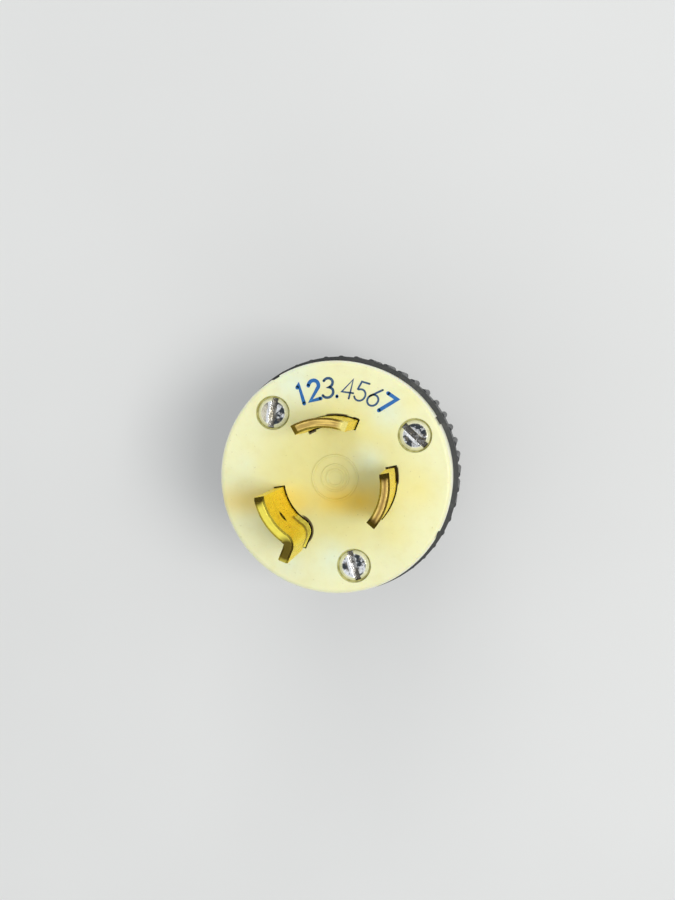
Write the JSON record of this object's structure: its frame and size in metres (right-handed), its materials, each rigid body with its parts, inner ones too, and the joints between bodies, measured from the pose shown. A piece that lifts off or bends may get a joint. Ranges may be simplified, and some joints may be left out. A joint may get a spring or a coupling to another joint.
{
  "type": "locking power plug",
  "caption": "Round three-blade twist-lock power plug: ivory moulded face with curved brass blades, black ribbed back shell and a screw-down cord clamp.",
  "frame": {"origin": "on the plug's axis at the flat cord end that it stands on", "axes": "+Z along the axis from the cord end to the blade tips; +X to the right and +Y up when the face is seen from the blades' side"},
  "size_m": [0.0398, 0.0398, 0.0679],
  "materials": {
    "ivory_nylon": "satin",
    "black_nylon": "fine moulded",
    "inner_nylon": "moulded",
    "brass": "stamped, lightly polished",
    "plated_steel": "zinc plated",
    "green_steel": "green dyed plating"
  },
  "bodies": {
    "root": {"back_shell": "black_nylon", "face_body": "ivory_nylon", "terminal_carrier": "inner_nylon", "line_blade_a": "brass", "line_blade_b": "brass", "ground_blade": "brass", "pressure_plate_a": "brass", "pressure_plate_b": "brass", "pressure_plate_ground": "brass", "terminal_screw_a": "plated_steel", "terminal_screw_b": "plated_steel", "terminal_screw_ground": "green_steel", "assembly_screws": "plated_steel", "threaded_inserts": "brass", "clamp_jaw_front": "black_nylon", "clamp_jaw_back": "black_nylon", "clamp_screws": "plated_steel", "clamp_nuts": "plated_steel"}
  },
  "joints": []
}
